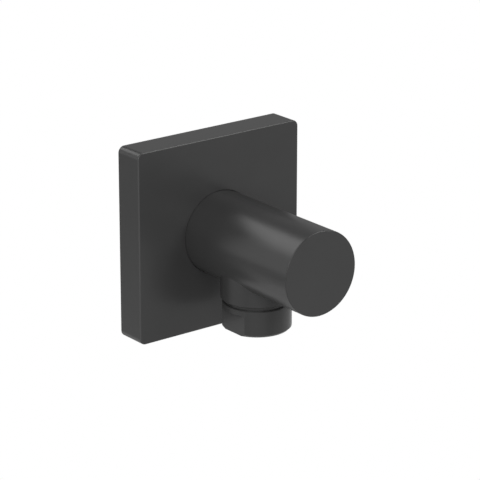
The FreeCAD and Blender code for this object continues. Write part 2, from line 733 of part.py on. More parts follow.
def valve_poppet():
    """Moulded poppet: head and disc that hold the seal, a spring pilot and a long stem."""
    body = new_body("valve_poppet")
    bind(body, "Placement.Base.y", "-Sizes.outlet_reach")
    profile = new_sketch(body, "poppet_section", "XZ_Plane")
    pilot_end = "-Sizes.spring_top_drop - Sizes.pilot_height"
    draw_outline(profile, [
        ("0", "-Sizes.seal_drop + Sizes.poppet_head_height"),
        ("Sizes.poppet_neck_dia / 2", "-Sizes.seal_drop + Sizes.poppet_head_height"),
        ("Sizes.poppet_head_dia / 2", "-Sizes.seal_drop"),
        ("Sizes.poppet_neck_dia / 2", "-Sizes.seal_drop"),
        ("Sizes.poppet_neck_dia / 2", "-Sizes.poppet_drop"),
        ("Sizes.poppet_dia / 2", "-Sizes.poppet_drop"),
        ("Sizes.poppet_dia / 2", "-Sizes.spring_top_drop"),
        ("Sizes.pilot_dia / 2", "-Sizes.spring_top_drop"),
        ("Sizes.pilot_dia / 2", pilot_end),
        ("Sizes.stem_dia / 2", pilot_end),
        ("Sizes.stem_dia / 2", "-Sizes.stem_end_drop"),
        ("0", "-Sizes.stem_end_drop"),
    ])
    turned(body, "poppet_turned", profile)
    return body


def valve_seal():
    """Rubber sealing ring, held on the poppet between its head and its disc."""
    body = new_body("valve_seal")
    bind(body, "Placement.Base.y", "-Sizes.outlet_reach")
    profile = new_sketch(body, "seal_section", "XZ_Plane")
    draw_outline(profile, [
        ("Sizes.poppet_neck_dia / 2", "-Sizes.seal_drop"),
        ("Sizes.seal_dia / 2 - Sizes.seal_gap", "-Sizes.seal_drop"),
        ("Sizes.seal_dia / 2", "-Sizes.seal_drop - Sizes.seal_gap"),
        ("Sizes.seal_dia / 2", "-Sizes.poppet_drop"),
        ("Sizes.poppet_neck_dia / 2", "-Sizes.poppet_drop"),
    ])
    turned(body, "seal_turned", profile)
    return body


def valve_spring():
    """Stainless spring that holds the poppet closed: round wire swept along a helix."""
    coil = doc.addObject("Part::Helix", "spring_path")
    top = "Sizes.spring_top_drop + Sizes.spring_end_gap + Sizes.spring_wire_dia / 2"
    foot = "Sizes.guide_top_drop - Sizes.spring_end_gap - Sizes.spring_wire_dia / 2"
    bind(coil, "Height", f"{foot} - ({top})")
    bind(coil, "Pitch", f"({foot} - ({top})) / Sizes.spring_turns")
    bind(coil, "Radius", "Sizes.spring_mean_dia / 2")
    wire = doc.addObject("Part::Circle", "spring_wire")
    bind(wire, "Radius", "Sizes.spring_wire_dia / 2")
    wire.Placement.Rotation = FreeCAD.Rotation(FreeCAD.Vector(1, 0, 0), 90)
    bind(wire, "Placement.Base.x", "Sizes.spring_mean_dia / 2")
    spring = doc.addObject("Part::Sweep", "valve_spring")
    spring.Label = "valve_spring"
    spring.Sections = [wire]
    spring.Spine = (coil, ["Edge1"])
    spring.Solid = True
    spring.Frenet = True
    bind(spring, "Placement.Base.y", "-Sizes.outlet_reach")
    bind(spring, "Placement.Base.z", f"-({foot})")
    return spring


PIECES = [
    elbow_body(),
    wall_plate(),
    plate_gasket(),
    plate_o_ring(),
    wall_nipple(),
    inlet_washer(),
    spigot_ring("nipple_o_ring_front", "Sizes.front_ring_reach"),
    spigot_ring("nipple_o_ring_rear", "Sizes.rear_ring_reach"),
    grub_screw(),
    outlet_nipple(),
    outlet_o_ring(),
    valve_housing(),
    valve_o_ring(),
    valve_guide(),
    valve_poppet(),
    valve_seal(),
    valve_spring(),
]
doc.recompute()

for item in doc.Objects:
    if "Invalid" in item.State or "Error" in item.State:
        raise RuntimeError(f"{item.Name} failed: {item.State}")
os.makedirs("parts", exist_ok=True)
for piece in PIECES:
    shape = piece.Shape
    if shape.isNull() or not shape.isValid() or len(shape.Solids) != 1:
        raise RuntimeError(f"{piece.Label}: not one valid solid")
    shape.exportStep(f"parts/{piece.Label}.step")
    box = shape.BoundBox
    print(f"{piece.Label}: {shape.Volume:.1f} mm3, "
          f"x {box.XMin:.2f} {box.XMax:.2f}, y {box.YMin:.2f} {box.YMax:.2f}, "
          f"z {box.ZMin:.2f} {box.ZMax:.2f}")
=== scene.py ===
"""Wall outlet elbow: finishes, fine detail, light and camera, in metres."""
import json
import math

import bmesh
import bpy
from mathutils import Matrix, Vector


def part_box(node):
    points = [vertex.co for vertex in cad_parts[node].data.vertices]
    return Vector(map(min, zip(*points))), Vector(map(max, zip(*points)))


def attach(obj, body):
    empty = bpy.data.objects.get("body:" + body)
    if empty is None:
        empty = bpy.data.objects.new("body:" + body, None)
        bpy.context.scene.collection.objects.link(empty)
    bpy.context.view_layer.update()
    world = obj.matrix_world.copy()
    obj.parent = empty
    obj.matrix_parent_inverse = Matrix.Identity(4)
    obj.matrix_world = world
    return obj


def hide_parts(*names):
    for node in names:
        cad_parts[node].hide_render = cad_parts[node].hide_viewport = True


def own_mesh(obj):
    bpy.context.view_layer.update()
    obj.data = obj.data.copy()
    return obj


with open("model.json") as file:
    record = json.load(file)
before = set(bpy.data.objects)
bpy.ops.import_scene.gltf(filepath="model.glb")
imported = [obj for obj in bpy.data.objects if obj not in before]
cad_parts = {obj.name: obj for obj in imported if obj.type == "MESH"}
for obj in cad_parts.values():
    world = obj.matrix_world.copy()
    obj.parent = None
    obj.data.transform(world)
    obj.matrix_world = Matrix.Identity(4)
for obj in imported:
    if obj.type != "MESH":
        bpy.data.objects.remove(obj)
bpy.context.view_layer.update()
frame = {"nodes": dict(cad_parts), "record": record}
cad_nodes = frame["nodes"]
MM = 0.001


# Square wall plate. A hollow zinc die casting with a collar that grips the barrel, powder
# coated in matt black. The coat is thick and even outside, and thins out over the rougher
# cast skin in the hollow.
def linear(hex_colour):
    """A linear RGBA colour from an sRGB hex value."""
    parts = [int(hex_colour[i:i + 2], 16) / 255 for i in (1, 3, 5)]
    bent = [c / 12.92 if c <= 0.04045 else ((c + 0.055) / 1.055) ** 2.4 for c in parts]
    return (*bent, 1.0)


def add_node(tree, kind, settings=None, links=None):
    """Add a node, set its properties or input values, and link its inputs to outputs."""
    node = tree.nodes.new(kind)
    for key, value in (settings or {}).items():
        if isinstance(key, str) and hasattr(node, key):
            setattr(node, key, value)
        else:
            node.inputs[key].default_value = value
    for key, source in (links or {}).items():
        tree.links.new(source, node.inputs[key])
    return node


def new_material(name):
    """A node material with nothing but the object coordinates that it reads."""
    material = bpy.data.materials.new(name)
    material.use_nodes = True
    tree = material.node_tree
    tree.nodes.clear()
    return material, tree, add_node(tree, "ShaderNodeTexCoord").outputs["Object"]


def finish_material(material, tree, settings, links):
    """Close a material with its one surface shader."""
    shader = add_node(tree, "ShaderNodeBsdfPrincipled", settings, links)
    add_node(tree, "ShaderNodeOutputMaterial", links={"Surface": shader.outputs["BSDF"]})
    return material


# A colour Mix node takes its factor at input 0 and its two colours at inputs 6 and 7, and
# gives their blend at output 2.
MIX_FACTOR, MIX_FIRST, MIX_SECOND, MIX_RESULT = 0, 6, 7, 2


def noise(tree, place, size, detail):
    """A noise pattern whose patches are about a given size across."""
    return add_node(tree, "ShaderNodeTexNoise", {"Scale": 1 / size, "Detail": detail},
                    {"Vector": place}).outputs["Fac"]


def blend_colours(tree, first, second, factor):
    """A colour between two hex colours."""
    return add_node(tree, "ShaderNodeMix",
                    {"data_type": "RGBA", MIX_FIRST: linear(first), MIX_SECOND: linear(second)},
                    {MIX_FACTOR: factor}).outputs[MIX_RESULT]


def powder_coat(name, bare_hex, bare_mask, painted_highlight_mask=None):
    """Matt black polyester powder, baked on: a dense black film with a satin sheen.

    Its melted grains leave a faint orange peel about 1 mm across over a finer grain, drawn
    at a quarter of a millimetre so that it shows, and its shade drifts over a centimetre.
    Where the bare mask is 1, bare metal shows, and where the last mask is 1, a lighter grey is
    painted over the film as a painted highlight.
    """
    material, tree, place = new_material(name)
    film = blend_colours(tree, "#3a3a3a", "#3e3e3e", noise(tree, place, 9 * MM, 3.0))
    # A lighter grey over the film where the last mask is 1: a painted highlight.
    if painted_highlight_mask:
        film = add_node(tree, "ShaderNodeMix",
                        {"data_type": "RGBA", MIX_SECOND: linear("#4c4c4c")},
                        {MIX_FACTOR: painted_highlight_mask(tree, place),
                         MIX_FIRST: film}).outputs[MIX_RESULT]
    grain = noise(tree, place, 0.25 * MM, 1.0)
    mask = bare_mask(tree, place)
    colour = add_node(tree, "ShaderNodeMix",
                      {"data_type": "RGBA", MIX_SECOND: linear(bare_hex)},
                      {MIX_FACTOR: mask, MIX_FIRST: film}).outputs[MIX_RESULT]
    roughness = add_node(tree, "ShaderNodeMapRange", {"To Min": 0.27, "To Max": 0.33},
                         {"Value": grain}).outputs["Result"]
    peel = add_node(tree, "ShaderNodeBump", {"Strength": 0.3, "Distance": 0.004 * MM},
                    {"Height": noise(tree, place, 1.1 * MM, 2.0)}).outputs["Normal"]
    bump = add_node(tree, "ShaderNodeBump", {"Strength": 0.3, "Distance": 0.0015 * MM},
                    {"Height": grain, "Normal": peel}).outputs["Normal"]
    return finish_material(material, tree, {"Specular IOR Level": 0.4},
                           {"Base Color": colour, "Metallic": mask, "Roughness": roughness,
                            "Normal": bump})


def square_zone(tree, place, across_test, half, along_test, end):
    """A mask for a square bar about Y: one test of the half width, one of the place along it."""
    spread = add_node(tree, "ShaderNodeVectorMath", {"operation": "ABSOLUTE"}, {0: place})
    away = add_node(tree, "ShaderNodeSeparateXYZ", links={0: spread.outputs[0]}).outputs
    along = add_node(tree, "ShaderNodeSeparateXYZ", links={0: place}).outputs["Y"]
    widest = add_node(tree, "ShaderNodeMath", {"operation": "MAXIMUM"},
                      {0: away["X"], 1: away["Z"]}).outputs[0]
    beside = add_node(tree, "ShaderNodeMath", {"operation": across_test, 1: half},
                      {0: widest}).outputs[0]
    ahead = add_node(tree, "ShaderNodeMath", {"operation": along_test, 1: end},
                     {0: along}).outputs[0]
    return add_node(tree, "ShaderNodeMath", {"operation": "MULTIPLY"},
                    {0: beside, 1: ahead}).outputs[0]


plate_low, plate_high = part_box("wall_plate")
plate_wall, plate_front, plate_edge = 4 * MM, 2.5 * MM, 0.32 * MM


def thin_coat_in_hollow(tree, place):
    """Patches of bare zinc, only on the walls of the plate's hollow."""
    skin = 0.2 * MM
    hollow = square_zone(tree, place, "LESS_THAN", plate_high.x - plate_wall + skin,
                         "GREATER_THAN", plate_low.y + plate_front - skin)
    thin = add_node(tree, "ShaderNodeMapRange",
                    {"From Min": 0.5, "From Max": 0.75, "To Max": 0.3},
                    {"Value": noise(tree, place, 2.5 * MM, 5.0)})
    return add_node(tree, "ShaderNodeMath", {"operation": "MULTIPLY"},
                    {0: hollow, 1: thin.outputs["Result"]}).outputs[0]


def front_edge_highlight(tree, place):
    """The rounded edges round the plate's front, painted a lighter grey as a painted highlight,
    where the coat also runs a little thinner.
    """
    return square_zone(tree, place, "GREATER_THAN", plate_high.x - plate_edge,
                       "LESS_THAN", plate_low.y + plate_edge)


def give_finish(node, material):
    """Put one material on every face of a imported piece."""
    slots = cad_nodes[node].data.materials
    slots.clear()
    slots.append(material)


# The plate's front edges get a painted highlight in a lighter grey.
give_finish("wall_plate", powder_coat("powder_coat_on_zinc", "#8f9092",
                                      thin_coat_in_hollow, front_edge_highlight))


# Foam gasket. A die-cut frame of closed-cell foam rubber, stuck in the rebate round the
# plate's back to level it on the tiles. Its cut edges are soft, and its cells show.
def skin_mesh(name, rows, joined=True):
    """A skin over rings of points. Its last ring joins its first, unless each end is a point."""
    count = len(rows[0])
    points = [point for row in rows for point in row]
    faces = []
    for i in range(len(rows) if joined else len(rows) - 1):
        here = i * count
        there = (i + 1) % len(rows) * count
        for j in range(count):
            k = (j + 1) % count
            faces.append((here + j, there + j, there + k, here + k))
    mesh = bpy.data.meshes.new(name)
    mesh.from_pydata(points, [], faces)
    return mesh


def finish_mesh(mesh, corner_degrees=32):
    """Merge a closed skin, turn its faces outwards and shade it smooth but for its corners."""
    skin = bmesh.new()
    skin.from_mesh(mesh)
    bmesh.ops.remove_doubles(skin, verts=skin.verts, dist=0.0005 * MM)
    bmesh.ops.recalc_face_normals(skin, faces=skin.faces)
    skin.to_mesh(mesh)
    skin.free()
    mesh.shade_smooth()
    mesh.set_sharp_from_angle(angle=math.radians(corner_degrees))


def add_piece(name, mesh, material, node, body):
    """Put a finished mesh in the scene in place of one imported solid."""
    piece = bpy.data.objects.new(name, mesh)
    bpy.context.scene.collection.objects.link(piece)
    mesh.materials.clear()
    mesh.materials.append(material)
    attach(piece, body)
    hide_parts(node)
    return piece


def closed_cell_foam():
    """Black foam rubber, die cut: dull, with torn cells about a third of a millimetre wide."""
    material, tree, place = new_material("closed_cell_foam")
    cells = add_node(tree, "ShaderNodeTexVoronoi", {"Scale": 1 / (0.35 * MM)},
                     {"Vector": place}).outputs["Distance"]
    colour = blend_colours(tree, "#1d1d1e", "#303031", cells)
    bump = add_node(tree, "ShaderNodeBump", {"Strength": 0.8, "Distance": 0.12 * MM},
                    {"Height": cells}).outputs["Normal"]
    return finish_material(material, tree, {"Roughness": 0.92, "Specular IOR Level": 0.25},
                           {"Base Color": colour, "Normal": bump})


def rounded_square_path(half, corner, steps):
    """Points round a square with round corners, as many on each corner's arc as asked."""
    points = []
    for quarter in range(4):
        turn = quarter * math.pi / 2
        for step in range(steps + 1):
            angle = math.pi / 2 * step / steps
            u = half - corner + corner * math.cos(angle)
            v = half - corner + corner * math.sin(angle)
            points.append((u * math.cos(turn) - v * math.sin(turn),
                           u * math.sin(turn) + v * math.cos(turn)))
    return points


def soft_section(width, height, edge, steps):
    """A rectangle with rounded corners, from 0 to its width and 0 to its height."""
    points = []
    for u, v, start in ((width - edge, height - edge, 0), (edge, height - edge, 90),
                        (edge, edge, 180), (width - edge, edge, 270)):
        for step in range(steps + 1):
            angle = math.radians(start + 90 * step / steps)
            points.append((u + edge * math.cos(angle), v + edge * math.sin(angle)))
    return points


gasket_low, gasket_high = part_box("plate_gasket")
gasket_width, gasket_edge, gasket_corner = 2.4 * MM, 0.45 * MM, 1.4 * MM
outer_path = rounded_square_path(gasket_high.x, gasket_corner, steps=8)
inner_path = rounded_square_path(gasket_high.x - gasket_width, gasket_corner, steps=8)
section = soft_section(gasket_width, gasket_high.y - gasket_low.y, gasket_edge, steps=5)
gasket_rows = []
for (outer_x, outer_z), (inner_x, inner_z) in zip(outer_path, inner_path):
    row = []
    for along, up in section:
        share = along / gasket_width
        row.append((inner_x + (outer_x - inner_x) * share, gasket_low.y + up,
                    inner_z + (outer_z - inner_z) * share))
    gasket_rows.append(row)
gasket_mesh = skin_mesh("foam_gasket", gasket_rows)
finish_mesh(gasket_mesh)
add_piece("foam_gasket", gasket_mesh, closed_cell_foam(), "plate_gasket", "elbow")


# Rubber rings. Nitrile rings from a two-part mould, so each has a hair of flash round its
# inner and outer middle. One grips the barrel in the plate's collar, two seal the spigot,
# one the outlet nipple's nose and one the check valve.
def moulded_rubber():
    """Black nitrile rubber with a light bloom: dull, and a little uneven in its gloss."""
    material, tree, place = new_material("moulded_nitrile")
    bloom = noise(tree, place, 3 * MM, 4.0)
    colour = blend_colours(tree, "#151516", "#262627", bloom)
    roughness = add_node(tree, "ShaderNodeMapRange", {"To Min": 0.5, "To Max": 0.68},
                         {"Value": bloom}).outputs["Result"]
    bump = add_node(tree, "ShaderNodeBump", {"Strength": 0.25, "Distance": 0.01 * MM},
                    {"Height": noise(tree, place, 0.2 * MM, 2.0)}).outputs["Normal"]
    return finish_material(material, tree, {"Specular IOR Level": 0.4},
                           {"Base Color": colour, "Roughness": roughness, "Normal": bump})


def new_tree(name, inputs):
    """An empty Geometry Nodes tree with named inputs, each given as name and socket kind."""
    tree = bpy.data.node_groups.new(name, "GeometryNodeTree")
    tree.interface.new_socket("Geometry", in_out="INPUT", socket_type="NodeSocketGeometry")
    for label, kind in inputs:
        tree.interface.new_socket(label, in_out="INPUT", socket_type=f"NodeSocket{kind}")
    tree.interface.new_socket("Geometry", in_out="OUTPUT", socket_type="NodeSocketGeometry")
    return tree, add_node(tree, "NodeGroupInput").outputs


def close_tree(tree, geometry, material):
    """End a tree in real geometry that carries its material."""
    real = add_node(tree, "GeometryNodeRealizeInstances", links={0: geometry})
    dressed = add_node(tree, "GeometryNodeSetMaterial",
                       links={"Geometry": real.outputs[0], "Material": material})
    add_node(tree, "NodeGroupOutput", links={0: dressed.outputs[0]})


def mesh_from_tree(tree, mesh, values):
    """Run a tree on a mesh, with values for its named inputs, and keep a plain mesh."""
    carrier = bpy.data.objects.new(mesh.name, mesh)
    bpy.context.scene.collection.objects.link(carrier)
    modifier = carrier.modifiers.new("nodes", "NODES")
    modifier.node_group = tree
    sockets = {item.name: item.identifier for item in tree.interface.items_tree
               if item.in_out == "INPUT"}
    for label, value in values.items():
        modifier[sockets[label]] = value
    evaluated = carrier.evaluated_get(bpy.context.evaluated_depsgraph_get())
    made = bpy.data.meshes.new_from_object(evaluated)
    carrier.modifiers.remove(modifier)
    bpy.data.objects.remove(carrier)
    return made


def ring_tree():
    """A round ring about Z with a ridge of flash on its inner and outer middle."""
    tree, given = new_tree("moulded_ring", (
        ("Radius", "Float"), ("Section", "Float"), ("Flash Height", "Float"),
        ("Flash Width", "Float"), ("Finish", "Material")))
    path = add_node(tree, "GeometryNodeCurvePrimitiveCircle", {"Resolution": 160},
                    {"Radius": given["Radius"]})
    profile = add_node(tree, "GeometryNodeCurvePrimitiveCircle", {"Resolution": 44},
                       {"Radius": given["Section"]})
    ring = add_node(tree, "GeometryNodeCurveToMesh", links={
        "Curve": path.outputs["Curve"], "Profile Curve": profile.outputs["Curve"]})
    place = add_node(tree, "GeometryNodeInputPosition").outputs[0]
    height = add_node(tree, "ShaderNodeSeparateXYZ", links={0: place}).outputs["Z"]
    flat = add_node(tree, "ShaderNodeVectorMath", {"operation": "MULTIPLY", 1: (1, 1, 0)},
                    {0: place}).outputs[0]
    radius = add_node(tree, "ShaderNodeVectorMath", {"operation": "LENGTH"},
                      {0: flat}).outputs["Value"]
    outward = add_node(tree, "ShaderNodeVectorMath", {"operation": "NORMALIZE"},
                       {0: flat}).outputs[0]
    beyond = add_node(tree, "ShaderNodeMath", {"operation": "SUBTRACT"},
                      {0: radius, 1: given["Radius"]}).outputs[0]
    side = add_node(tree, "ShaderNodeMath", {"operation": "SIGN"}, {0: beyond}).outputs[0]
    off_middle = add_node(tree, "ShaderNodeMath", {"operation": "ABSOLUTE"},
                          {0: height}).outputs[0]
    ridge = add_node(tree, "ShaderNodeMapRange", {"To Min": 1.0, "To Max": 0.0},
                     {"Value": off_middle, "From Max": given["Flash Width"]}).outputs["Result"]
    raised = add_node(tree, "ShaderNodeMath", {"operation": "MULTIPLY"},
                      {0: ridge, 1: given["Flash Height"]}).outputs[0]
    signed = add_node(tree, "ShaderNodeMath", {"operation": "MULTIPLY"},
                      {0: raised, 1: side}).outputs[0]
    offset = add_node(tree, "ShaderNodeVectorMath", {"operation": "SCALE"},
                      {0: outward, "Scale": signed}).outputs[0]
    moved = add_node(tree, "GeometryNodeSetPosition", links={
        "Geometry": ring.outputs[0], "Offset": offset})
    close_tree(tree, moved.outputs[0], given["Finish"])
    return tree


rubber = moulded_rubber()
rings = ring_tree()
AROUND_BARREL = Matrix.Rotation(math.radians(90), 4, "X")
AROUND_OUTLET = Matrix.Identity(4)
flash_height, flash_width = 0.03 * MM, 0.09 * MM
for node, turn in (("plate_o_ring", AROUND_BARREL), ("nipple_o_ring_rear", AROUND_BARREL),
                   ("nipple_o_ring_front", AROUND_BARREL), ("outlet_o_ring", AROUND_OUTLET),
                   ("valve_o_ring", AROUND_OUTLET)):
    low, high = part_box(node)
    size = high - low
    half_section = min(size) / 2 - flash_height
    ring_mesh = mesh_from_tree(rings, bpy.data.meshes.new(f"rubber_{node}"), {
        "Radius": size.x / 2 - min(size) / 2, "Section": half_section,
        "Flash Height": flash_height, "Flash Width": flash_width, "Finish": rubber})
    ring_mesh.transform(Matrix.Translation((low + high) / 2) @ turn)
    finish_mesh(ring_mesh, corner_degrees=50)
    add_piece(f"rubber_{node}", ring_mesh, rubber, node, "elbow")


# Inlet washer. A flat rubber washer behind the nipple's flange, moulded with round edges,
# which the flange squeezes against the wall fitting.
def turned_rows(outline, count):
    """Rings about the Y axis through an outline of (radius, y) points."""
    angles = [2 * math.pi * step / count for step in range(count)]
    return [[(radius * math.cos(a), y, radius * math.sin(a)) for a in angles]
            for radius, y in outline]


wall_mount = next(m for m in frame["record"]["mounts"] if m["name"] == "wall_inlet")
thread_radius = wall_mount["dims"]["r_mm"] * MM
washer_low, washer_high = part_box("inlet_washer")
washer_gap, washer_edge = 0.12 * MM, 0.3 * MM
washer_hole = thread_radius + washer_gap
washer_outline = [
    (washer_hole + across, washer_low.y + up) for across, up in soft_section(
        washer_high.x - washer_hole, washer_high.y - washer_low.y, washer_edge, steps=4)]
washer_mesh = skin_mesh("rubber_washer", turned_rows(washer_outline, count=128))
finish_mesh(washer_mesh)
add_piece("rubber_washer", washer_mesh, rubber, "inlet_washer", "elbow")


# Wall nipple. Bare turned brass: a G 1/2 thread that screws into the wall fitting, a flange
# for the washer and a grooved spigot for the elbow, with a hexagon socket in its end. The
# solid has a plain cylinder for the thread, and this piece cuts the real one.
def thread_tree():
    """Cuts a helical thread into a turned skin about Y, between two places along it.

    A point there keeps its angle and its place along Y. Its radius drops to the thread's
    own radius at that point, if that is less.
    """
    tree, given = new_tree("cut_thread", (
        ("Radius", "Float"), ("Pitch", "Float"), ("Depth", "Float"), ("Start", "Float"),
        ("End", "Float"), ("Finish", "Material")))
    place = add_node(tree, "GeometryNodeInputPosition").outputs[0]
    at = add_node(tree, "ShaderNodeSeparateXYZ", links={0: place}).outputs
    angle = add_node(tree, "ShaderNodeMath", {"operation": "ARCTAN2"},
                     {0: at["Z"], 1: at["X"]}).outputs[0]
    turn = add_node(tree, "ShaderNodeMath", {"operation": "DIVIDE", 1: 2 * math.pi},
                    {0: angle}).outputs[0]
    travel = add_node(tree, "ShaderNodeMath", {"operation": "DIVIDE"},
                      {0: at["Y"], 1: given["Pitch"]}).outputs[0]
    phase = add_node(tree, "ShaderNodeMath", {"operation": "ADD"},
                     {0: turn, 1: travel}).outputs[0]
    wave = add_node(tree, "ShaderNodeMath", {"operation": "PINGPONG", 1: 0.5},
                    {0: phase}).outputs[0]
    flat_share = 0.04  # of the pitch, on each side of a crest and of a root
    groove = add_node(tree, "ShaderNodeMapRange",
                      {"interpolation_type": "SMOOTHSTEP", "From Min": flat_share,
                       "From Max": 0.5 - flat_share}, {"Value": wave}).outputs["Result"]
    cut = add_node(tree, "ShaderNodeMath", {"operation": "MULTIPLY"},
                   {0: groove, 1: given["Depth"]}).outputs[0]
    thread = add_node(tree, "ShaderNodeMath", {"operation": "SUBTRACT"},
                      {0: given["Radius"], 1: cut}).outputs[0]
    across = add_node(tree, "ShaderNodeVectorMath", {"operation": "MULTIPLY", 1: (1, 0, 1)},
                      {0: place}).outputs[0]
    radius = add_node(tree, "ShaderNodeVectorMath", {"operation": "LENGTH"},
                      {0: across}).outputs["Value"]
    ratio = add_node(tree, "ShaderNodeMath", {"operation": "DIVIDE"},
                     {0: thread, 1: radius}).outputs[0]
    shrink = add_node(tree, "ShaderNodeMath", {"operation": "MINIMUM", 1: 1.0},
                      {0: ratio}).outputs[0]
    pull = add_node(tree, "ShaderNodeMath", {"operation": "SUBTRACT", 1: 1.0},
                    {0: shrink}).outputs[0]
    offset = add_node(tree, "ShaderNodeVectorMath", {"operation": "SCALE"},
                      {0: across, "Scale": pull}).outputs[0]
    begun = add_node(tree, "FunctionNodeCompare", {"operation": "GREATER_EQUAL"},
                     {0: at["Y"], 1: given["Start"]}).outputs[0]
    unended = add_node(tree, "FunctionNodeCompare", {"operation": "LESS_EQUAL"},
                       {0: at["Y"], 1: given["End"]}).outputs[0]
    threaded = add_node(tree, "FunctionNodeBooleanMath", links={0: begun, 1: unended})
    moved = add_node(tree, "GeometryNodeSetPosition", links={
        "Geometry": given["Geometry"], "Selection": threaded.outputs[0], "Offset": offset})
    close_tree(tree, moved.outputs[0], given["Finish"])
    return tree


def turned_metal(name, pale_hex, dark_hex, along, least_rough, most_rough):
    """Bare metal from the lathe. Its feed marks run round it, drawn 0.12 mm apart to show."""
    material, tree, place = new_material(name)
    across = Vector((1, 1, 1)) - Vector(along)
    flat = add_node(tree, "ShaderNodeVectorMath", {"operation": "MULTIPLY", 1: across},
                    {0: place}).outputs[0]
    radius = add_node(tree, "ShaderNodeVectorMath", {"operation": "LENGTH"},
                      {0: flat}).outputs["Value"]
    travel = add_node(tree, "ShaderNodeVectorMath", {"operation": "DOT_PRODUCT", 1: along},
                      {0: place}).outputs["Value"]
    section = add_node(tree, "ShaderNodeCombineXYZ", links={0: radius, 1: travel}).outputs[0]
    dull = noise(tree, place, 6 * MM, 4.0)
    colour = blend_colours(tree, pale_hex, dark_hex, dull)
    roughness = add_node(tree, "ShaderNodeMapRange",
                         {"To Min": least_rough, "To Max": most_rough},
                         {"Value": dull}).outputs["Result"]
    bump = add_node(tree, "ShaderNodeBump", {"Strength": 0.35, "Distance": 0.006 * MM},
                    {"Height": noise(tree, section, 0.12 * MM, 1.0)}).outputs["Normal"]
    return finish_material(material, tree, {"Metallic": 1.0},
                           {"Base Color": colour, "Roughness": roughness, "Normal": bump})


# Free-cutting brass is warm yellow and fairly bright, with a little dull tarnish.
brass = turned_metal("turned_brass", "#c9a257", "#a67e40", along=(0, 1, 0),
                     least_rough=0.24, most_rough=0.42)
nipple_low, nipple_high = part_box("wall_nipple")
PIPE_THREAD_DEPTH = 0.6403  # of the pitch
thread_pitch = 1.814 * MM
thread_depth = PIPE_THREAD_DEPTH * thread_pitch
thread_chamfer = 1.0 * MM
thread_start = washer_high.y
relief_radius = 9.3 * MM
flange_radius, flange_front = nipple_high.x, washer_low.y
flange_back, flange_edge = flange_front - 3 * MM, 0.25 * MM
spigot_radius, spigot_chamfer = 8.4 * MM, 0.5 * MM
bore_radius = 4.9 * MM
key_width, key_depth = 10 * MM, 10 * MM

# A ring just inside the thread's root keeps the end face flat where the thread runs out.
inside_root = 0.05 * MM
outline = [(bore_radius, nipple_high.y),
           (thread_radius - thread_depth - inside_root, nipple_high.y)]
CHAMFER_ROWS, THREAD_ROWS = 8, 112
for row in range(CHAMFER_ROWS + 1):
    step = thread_chamfer * row / CHAMFER_ROWS
    outline.append((thread_radius - thread_chamfer + step, nipple_high.y - step))
thread_end = nipple_high.y - thread_chamfer
for row in range(1, THREAD_ROWS + 1):
    outline.append((thread_radius,
                    thread_end + (thread_start - thread_end) * row / THREAD_ROWS))
outline += [
    (relief_radius, thread_start),
    (relief_radius, flange_front),
    (flange_radius - flange_edge, flange_front),
    (flange_radius, flange_front - flange_edge),
    (flange_radius, flange_back + flange_edge),
    (flange_radius - flange_edge, flange_back),
    (spigot_radius, flange_back),
]
# Each groove's width and the radius of its floor. The screw's point clamps in the first.
screw_groove, ring_groove = (2.6 * MM, 7.5 * MM), (1.7 * MM, 7.1 * MM)
for node, (width, floor_radius) in (("grub_screw", screw_groove),
                                    ("nipple_o_ring_rear", ring_groove),
                                    ("nipple_o_ring_front", ring_groove)):
    low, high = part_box(node)
    middle = (low.y + high.y) / 2
    outline += [(spigot_radius, middle + width / 2), (floor_radius, middle + width / 2),
                (floor_radius, middle - width / 2), (spigot_radius, middle - width / 2)]
outline += [(spigot_radius, nipple_low.y + spigot_chamfer),
            (spigot_radius - spigot_chamfer, nipple_low.y)]
AROUND = 144
nipple_rows = turned_rows(outline, AROUND)


def hexagon_ring(width, y, count):
    """A ring of points on a hexagon of a given width across its flats, about the Y axis."""
    ring = []
    for step in range(count):
        angle = 2 * math.pi * step / count
        beside = (angle + math.pi / 6) % (math.pi / 3) - math.pi / 6
        reach = width / 2 / math.cos(beside)
        ring.append((reach * math.cos(angle), y, reach * math.sin(angle)))
    return ring


nipple_rows += [hexagon_ring(key_width, nipple_low.y, AROUND),
                hexagon_ring(key_width, nipple_low.y + key_depth, AROUND)]
nipple_rows += turned_rows([(bore_radius, nipple_low.y + key_depth)], AROUND)
thread_cutter = thread_tree()
start_margin = 0.01 * MM
nipple_mesh = mesh_from_tree(thread_cutter, skin_mesh("threaded_wall_nipple", nipple_rows), {
    "Radius": thread_radius, "Pitch": thread_pitch, "Depth": thread_depth,
    "Start": thread_start - start_margin, "End": nipple_high.y, "Finish": brass})
finish_mesh(nipple_mesh)
add_piece("threaded_wall_nipple", nipple_mesh, brass, "wall_nipple", "elbow")


# Elbow body. A brass casting, turned outside and bored inside, in the same black powder.
# The bores are masked while it is sprayed, so they stay bare brass.
outlet_low, outlet_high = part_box("outlet_nipple")
outlet_axis = Vector((0, (outlet_low.y + outlet_high.y) / 2, 0))


def inside_tube(tree, place, centre, across, radius, along, start):
    """A mask that is 1 within a radius of an axis and past a start along it."""
    offset = add_node(tree, "ShaderNodeVectorMath", {"operation": "SUBTRACT", 1: centre},
                      {0: place}).outputs[0]
    flat = add_node(tree, "ShaderNodeVectorMath", {"operation": "MULTIPLY", 1: across},
                    {0: offset}).outputs[0]
    reach = add_node(tree, "ShaderNodeVectorMath", {"operation": "LENGTH"},
                     {0: flat}).outputs["Value"]
    near = add_node(tree, "ShaderNodeMath", {"operation": "LESS_THAN", 1: radius},
                    {0: reach}).outputs[0]
    travel = add_node(tree, "ShaderNodeVectorMath", {"operation": "DOT_PRODUCT", 1: along},
                      {0: offset}).outputs["Value"]
    past = add_node(tree, "ShaderNodeMath", {"operation": "GREATER_THAN", 1: start},
                    {0: travel}).outputs[0]
    return add_node(tree, "ShaderNodeMath", {"operation": "MULTIPLY"},
                    {0: near, 1: past}).outputs[0]


